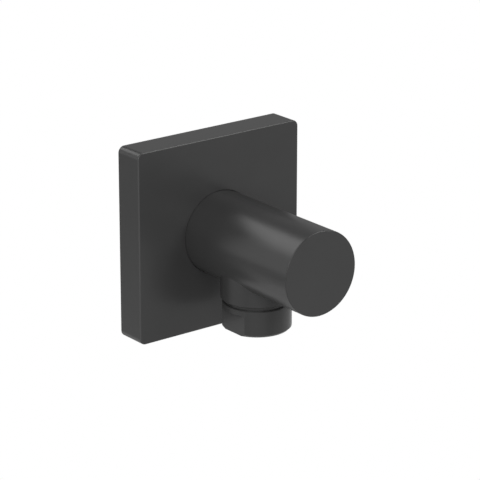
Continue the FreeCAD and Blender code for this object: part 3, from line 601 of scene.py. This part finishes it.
def elbow_bores(tree, place):
    """The waterway along the barrel and the threaded neck bore below it.

    Each tube is a little wider than its bore, and none reaches the outer skin.
    """
    barrel_tube, barrel_tube_front = 9.4 * MM, -54 * MM
    neck_tube, neck_tube_top = 9.3 * MM, 6 * MM
    waterway = inside_tube(tree, place, centre=(0, 0, 0), across=(1, 0, 1),
                           radius=barrel_tube, along=(0, 1, 0), start=barrel_tube_front)
    neck = inside_tube(tree, place, centre=outlet_axis, across=(1, 1, 0),
                       radius=neck_tube, along=(0, 0, -1), start=neck_tube_top)
    return add_node(tree, "ShaderNodeMath", {"operation": "MAXIMUM"},
                    {0: waterway, 1: neck}).outputs[0]


BRASS_HEX = "#b58d4a"
give_finish("elbow_body", powder_coat("powder_coat_on_brass", BRASS_HEX, elbow_bores))


# Grub screw. A small stainless screw under the barrel with a dog point, which clamps the
# elbow on the spigot. The solid has a plain cylinder, and this piece has its M4 thread.
screw_low, screw_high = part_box("grub_screw")
METRIC_THREAD_DEPTH = 0.6134  # of the pitch
screw_radius, screw_pitch = screw_high.x, 0.7 * MM
screw_depth = METRIC_THREAD_DEPTH * screw_pitch
screw_length = screw_high.z - screw_low.z
screw_edge, tip_radius, tip_length = 0.2 * MM, 1.25 * MM, 1.0 * MM
screw_key, screw_key_depth = 2.0 * MM, 2.2 * MM
SCREW_AROUND, SCREW_ROWS = 72, 60
shoulder = screw_length - tip_length
screw_outline = [(screw_radius - screw_edge, 0)]
for row in range(SCREW_ROWS + 1):
    share = row / SCREW_ROWS
    screw_outline.append((screw_radius,
                          screw_edge + (shoulder - 2 * screw_edge) * share))
screw_outline += [
    (screw_radius - 2 * screw_edge, shoulder),
    (tip_radius, shoulder),
    (tip_radius, screw_length - screw_edge / 2),
    (tip_radius - screw_edge / 2, screw_length),
    (0, screw_length),
]
screw_rows = turned_rows([(0, screw_key_depth)], SCREW_AROUND)
screw_rows += [hexagon_ring(screw_key, screw_key_depth, SCREW_AROUND),
               hexagon_ring(screw_key, 0, SCREW_AROUND)]
screw_rows += turned_rows(screw_outline, SCREW_AROUND)
# Stainless steel is a cool grey and a little smoother than the brass.
stainless = turned_metal("plain_stainless", "#b4b3b0", "#8f8f8d", along=(0, 0, 1),
                         least_rough=0.22, most_rough=0.34)
screw_mesh = mesh_from_tree(
    thread_cutter, skin_mesh("stainless_grub_screw", screw_rows, joined=False),
    {"Radius": screw_radius, "Pitch": screw_pitch, "Depth": screw_depth,
     "Start": screw_edge - start_margin, "End": shoulder - screw_edge, "Finish": stainless})
finish_mesh(screw_mesh)
screw_foot = Vector((0, (screw_low.y + screw_high.y) / 2, screw_low.z))
screw_mesh.transform(Matrix.Translation(screw_foot) @ Matrix.Rotation(math.radians(90), 4, "X"))
add_piece("stainless_grub_screw", screw_mesh, stainless, "grub_screw", "elbow")


# Hose outlet nipple. Turned brass, screwed up into the neck with a wrench on its two flats.
# It is sprayed black outside and bare in the bore that holds the check valve.
def nipple_bore(tree, place):
    """The bore of the outlet nipple, and a hair more."""
    bore_tube = 6.6 * MM
    return inside_tube(tree, place, centre=outlet_axis, across=(1, 1, 0),
                       radius=bore_tube, along=(0, 0, -1), start=0)


def flat_highlight(tree, place):
    """The two flats, painted a little greyer as a painted highlight."""
    flat_half, corner, highlight_share = 9 * MM, 0.03 * MM, 0.5
    spread = add_node(tree, "ShaderNodeVectorMath", {"operation": "ABSOLUTE"}, {0: place})
    away = add_node(tree, "ShaderNodeSeparateXYZ", links={0: spread.outputs[0]}).outputs["X"]
    flats = add_node(tree, "ShaderNodeMath",
                     {"operation": "COMPARE", 1: flat_half, 2: corner}, {0: away}).outputs[0]
    return add_node(tree, "ShaderNodeMath", {"operation": "MULTIPLY", 1: highlight_share},
                    {0: flats}).outputs[0]


# The two wrench flats get half of the painted highlight grey.
give_finish("outlet_nipple", powder_coat("powder_coat_on_outlet", BRASS_HEX, nipple_bore,
                                         flat_highlight))


# Check valve cartridge. Housing and spider guide are moulded in white acetal, the poppet in
# blue, with a rubber seal on it. The water lifts the poppet off its seat against the spring.
def moulded_acetal(name, pale_hex, dark_hex):
    """Injection-moulded acetal: waxy and half matt, with a very fine mould texture."""
    material, tree, place = new_material(name)
    flow = noise(tree, place, 2.5 * MM, 3.0)
    colour = blend_colours(tree, pale_hex, dark_hex, flow)
    roughness = add_node(tree, "ShaderNodeMapRange", {"To Min": 0.34, "To Max": 0.46},
                         {"Value": flow}).outputs["Result"]
    bump = add_node(tree, "ShaderNodeBump", {"Strength": 0.2, "Distance": 0.008 * MM},
                    {"Height": noise(tree, place, 0.15 * MM, 2.0)}).outputs["Normal"]
    return finish_material(material, tree, {"IOR": 1.48, "Subsurface Weight": 0.08,
                                            "Subsurface Scale": 0.6 * MM},
                           {"Base Color": colour, "Roughness": roughness, "Normal": bump})


white_acetal = moulded_acetal("moulded_white_acetal", "#e6e5df", "#d9d8d0")
give_finish("valve_housing", white_acetal)
give_finish("valve_guide", white_acetal)
give_finish("valve_poppet", moulded_acetal("moulded_blue_acetal", "#2f6ea8", "#28609a"))
give_finish("valve_seal", rubber)


# Valve spring. Stainless wire coiled with its end turns closed, so that it stands square
# between the poppet and the guide.
def spring_tree():
    """A helix about Z from 0 up to a length, one closed turn at each end, swept by a wire."""
    tree, given = new_tree("closed_end_spring", (
        ("Radius", "Float"), ("Wire", "Float"), ("Length", "Float"), ("Turns", "Float"),
        ("Finish", "Material")))
    line = add_node(tree, "GeometryNodeCurvePrimitiveLine", {"End": (0, 0, 1)})
    path = add_node(tree, "GeometryNodeResampleCurve", {"Count": 300},
                    {"Curve": line.outputs["Curve"]})
    share = add_node(tree, "GeometryNodeSplineParameter").outputs["Factor"]
    turn = add_node(tree, "ShaderNodeMath", {"operation": "MULTIPLY"},
                    {0: share, 1: given["Turns"]}).outputs[0]
    angle = add_node(tree, "ShaderNodeMath", {"operation": "MULTIPLY", 1: 2 * math.pi},
                     {0: turn}).outputs[0]
    cosine = add_node(tree, "ShaderNodeMath", {"operation": "COSINE"}, {0: angle}).outputs[0]
    sine = add_node(tree, "ShaderNodeMath", {"operation": "SINE"}, {0: angle}).outputs[0]
    x = add_node(tree, "ShaderNodeMath", {"operation": "MULTIPLY"},
                 {0: cosine, 1: given["Radius"]}).outputs[0]
    y = add_node(tree, "ShaderNodeMath", {"operation": "MULTIPLY"},
                 {0: sine, 1: given["Radius"]}).outputs[0]
    wire_diameter = add_node(tree, "ShaderNodeMath", {"operation": "MULTIPLY", 1: 2.0},
                             {0: given["Wire"]}).outputs[0]
    last_turn = add_node(tree, "ShaderNodeMath", {"operation": "SUBTRACT", 1: 1.0},
                         {0: given["Turns"]}).outputs[0]
    last_rise = add_node(tree, "ShaderNodeMath", {"operation": "SUBTRACT"},
                         {0: given["Length"], 1: wire_diameter}).outputs[0]
    first = add_node(tree, "ShaderNodeMapRange", {"From Max": 1.0},
                     {"Value": turn, "To Max": wire_diameter}).outputs["Result"]
    middle = add_node(tree, "ShaderNodeMapRange", {"From Min": 1.0}, {
        "Value": turn, "From Max": last_turn, "To Min": wire_diameter,
        "To Max": last_rise}).outputs["Result"]
    last = add_node(tree, "ShaderNodeMapRange", {}, {
        "Value": turn, "From Min": last_turn, "From Max": given["Turns"],
        "To Max": wire_diameter}).outputs["Result"]
    open_rise = add_node(tree, "ShaderNodeMath", {"operation": "SUBTRACT"},
                         {0: middle, 1: wire_diameter}).outputs[0]
    lower = add_node(tree, "ShaderNodeMath", {"operation": "ADD"},
                     {0: first, 1: open_rise}).outputs[0]
    rise = add_node(tree, "ShaderNodeMath", {"operation": "ADD"}, {0: lower, 1: last}).outputs[0]
    point = add_node(tree, "ShaderNodeCombineXYZ", links={0: x, 1: y, 2: rise}).outputs[0]
    helix = add_node(tree, "GeometryNodeSetPosition", links={
        "Geometry": path.outputs["Curve"], "Position": point})
    section = add_node(tree, "GeometryNodeCurvePrimitiveCircle", {"Resolution": 14},
                       {"Radius": given["Wire"]})
    wire = add_node(tree, "GeometryNodeCurveToMesh", {"Fill Caps": True}, {
        "Curve": helix.outputs[0], "Profile Curve": section.outputs["Curve"]})
    close_tree(tree, wire.outputs[0], given["Finish"])
    return tree


spring_low, spring_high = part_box("valve_spring")
spring_wire, spring_turns = 0.225 * MM, 5.0
spring_mesh = mesh_from_tree(spring_tree(), bpy.data.meshes.new("stainless_valve_spring"), {
    "Radius": (spring_high.x - spring_low.x) / 2 - spring_wire, "Wire": spring_wire,
    "Length": spring_high.z - spring_low.z - 2 * spring_wire, "Turns": spring_turns,
    "Finish": stainless})
spring_foot = Vector((0, outlet_axis.y, spring_low.z + spring_wire))
spring_mesh.transform(Matrix.Translation(spring_foot))
finish_mesh(spring_mesh, corner_degrees=50)
spring = add_piece("stainless_valve_spring", spring_mesh, stainless, "valve_spring", "elbow")
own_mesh(spring)


# Camera of the photograph: a long lens, held without roll, that looks down a little on the
# left front of the part.
CAMERA_AZIMUTH, CAMERA_ELEVATION = math.radians(-37.67), math.radians(18.90)
CAMERA_DISTANCE = 750 * MM
FOCAL_PIXELS, IMAGE_PIXELS, SENSOR = 2503, 480, 36.0
AIM = Vector((-0.1 * MM, -20 * MM, 0.05 * MM))
backward = Vector((math.sin(CAMERA_AZIMUTH) * math.cos(CAMERA_ELEVATION),
                   -math.cos(CAMERA_AZIMUTH) * math.cos(CAMERA_ELEVATION),
                   math.sin(CAMERA_ELEVATION)))
camera_data = bpy.data.cameras.new("camera")
camera_data.sensor_width = SENSOR
camera_data.lens = FOCAL_PIXELS / IMAGE_PIXELS * SENSOR
camera_data.clip_start = 0.01
camera = bpy.data.objects.new("camera", camera_data)
camera.location = AIM + backward * CAMERA_DISTANCE
camera.rotation_euler = backward.to_track_quat("Z", "Y").to_euler()
bpy.context.scene.collection.objects.link(camera)
bpy.context.scene.camera = camera


# Light. A plain pale studio: a dim even surround, a white floor well below the part that
# glows as if lamps lit it, and soft boxes that give the black powder its sheen.
bpy.context.scene.view_settings.view_transform = "Standard"


def glow(tree, settings, links):
    """A light's strength: To Min where it falls on the part, plain white to the camera."""
    seen = add_node(tree, "ShaderNodeLightPath").outputs["Is Camera Ray"]
    return add_node(tree, "ShaderNodeMapRange", {"To Max": 1.0, **settings},
                    {"Value": seen, **links}).outputs["Result"]


SURROUND_GLOW = 0.16
world = bpy.data.worlds.new("studio")
world.use_nodes = True
bpy.context.scene.world = world
tree = world.node_tree
tree.nodes.clear()
sky = add_node(tree, "ShaderNodeBackground", {"Color": (1, 1, 1, 1)},
               {"Strength": glow(tree, {"To Min": SURROUND_GLOW}, {})})
add_node(tree, "ShaderNodeOutputWorld", links={"Surface": sky.outputs[0]})


def soft_box(name, azimuth, elevation, distance, wide, high, radiance):
    """A rectangular lamp that faces the part and fills an angle as wide and high as given.

    Azimuth 0 is the front, 90 the right and 180 behind the part. All angles are in degrees.
    """
    turn, rise = math.radians(azimuth), math.radians(elevation)
    away = Vector((math.sin(turn) * math.cos(rise), -math.cos(turn) * math.cos(rise),
                   math.sin(rise)))
    lamp = bpy.data.lights.new(name, "AREA")
    lamp.shape = "RECTANGLE"
    lamp.size = 2 * distance * math.tan(math.radians(wide / 2))
    lamp.size_y = 2 * distance * math.tan(math.radians(high / 2))
    lamp.energy = radiance * math.pi * lamp.size * lamp.size_y
    box = bpy.data.objects.new(name, lamp)
    box.location = AIM + away * distance
    box.rotation_euler = away.to_track_quat("Z", "Y").to_euler()
    box.visible_camera = False
    bpy.context.scene.collection.objects.link(box)


soft_box("back_top_box", azimuth=202, elevation=41, distance=0.9,
         wide=34, high=27, radiance=2.2)
soft_box("back_left_box", azimuth=225, elevation=11, distance=0.9,
         wide=29, high=36, radiance=0.78)
soft_box("back_right_box", azimuth=135, elevation=20, distance=0.9,
         wide=40, high=30, radiance=0.18)
soft_box("left_front_box", azimuth=315, elevation=28, distance=0.9,
         wide=50, high=54, radiance=2.4)
soft_box("right_front_box", azimuth=45, elevation=45, distance=0.9,
         wide=32, high=30, radiance=4.6)
soft_box("front_low_box", azimuth=38, elevation=-19, distance=0.6,
         wide=34, high=24, radiance=0.2)
soft_box("right_low_box", azimuth=90, elevation=-35, distance=0.4,
         wide=60, high=25, radiance=0.45)
soft_box("back_low_box", azimuth=195, elevation=-34, distance=0.48,
         wide=34, high=22, radiance=0.44)
soft_box("left_front_low_box", azimuth=325, elevation=-22, distance=0.6,
         wide=50, high=20, radiance=0.2)
soft_box("left_low_box", azimuth=262, elevation=-22, distance=0.6,
         wide=40, high=20, radiance=0.2)

floor_mesh = bpy.data.meshes.new("floor")
FLOOR_HALF, FLOOR_DROP = 6.0, 0.3
floor_mesh.from_pydata([(x, y, -FLOOR_DROP) for x, y in (
    (-FLOOR_HALF, -FLOOR_HALF), (FLOOR_HALF, -FLOOR_HALF),
    (FLOOR_HALF, FLOOR_HALF), (-FLOOR_HALF, FLOOR_HALF))], [], [(0, 1, 2, 3)])
floor = bpy.data.objects.new("floor", floor_mesh)
bpy.context.scene.collection.objects.link(floor)
# Its light on the part is even out to half a metre and dims over the next half metre.
even_reach, dim_reach, even_glow, dim_glow = 0.5, 1.0, 0.55, 0.3
pale, tree, place = new_material("pale_floor")
away = add_node(tree, "ShaderNodeVectorMath", {"operation": "LENGTH"},
                {0: place}).outputs["Value"]
pool = add_node(tree, "ShaderNodeMapRange",
                {"From Min": even_reach, "From Max": dim_reach, "To Min": even_glow,
                 "To Max": dim_glow},
                {"Value": away}).outputs["Result"]
lit = add_node(tree, "ShaderNodeEmission", {"Color": (1, 1, 1, 1)},
               {"Strength": glow(tree, {}, {"To Min": pool})})
# From below the floor is clear, so that it hides nothing.
below = add_node(tree, "ShaderNodeNewGeometry").outputs["Backfacing"]
clear = add_node(tree, "ShaderNodeBsdfTransparent").outputs[0]
surface = add_node(tree, "ShaderNodeMixShader",
                   links={0: below, 1: lit.outputs[0], 2: clear}).outputs[0]
add_node(tree, "ShaderNodeOutputMaterial", links={"Surface": surface})
floor_mesh.materials.append(pale)
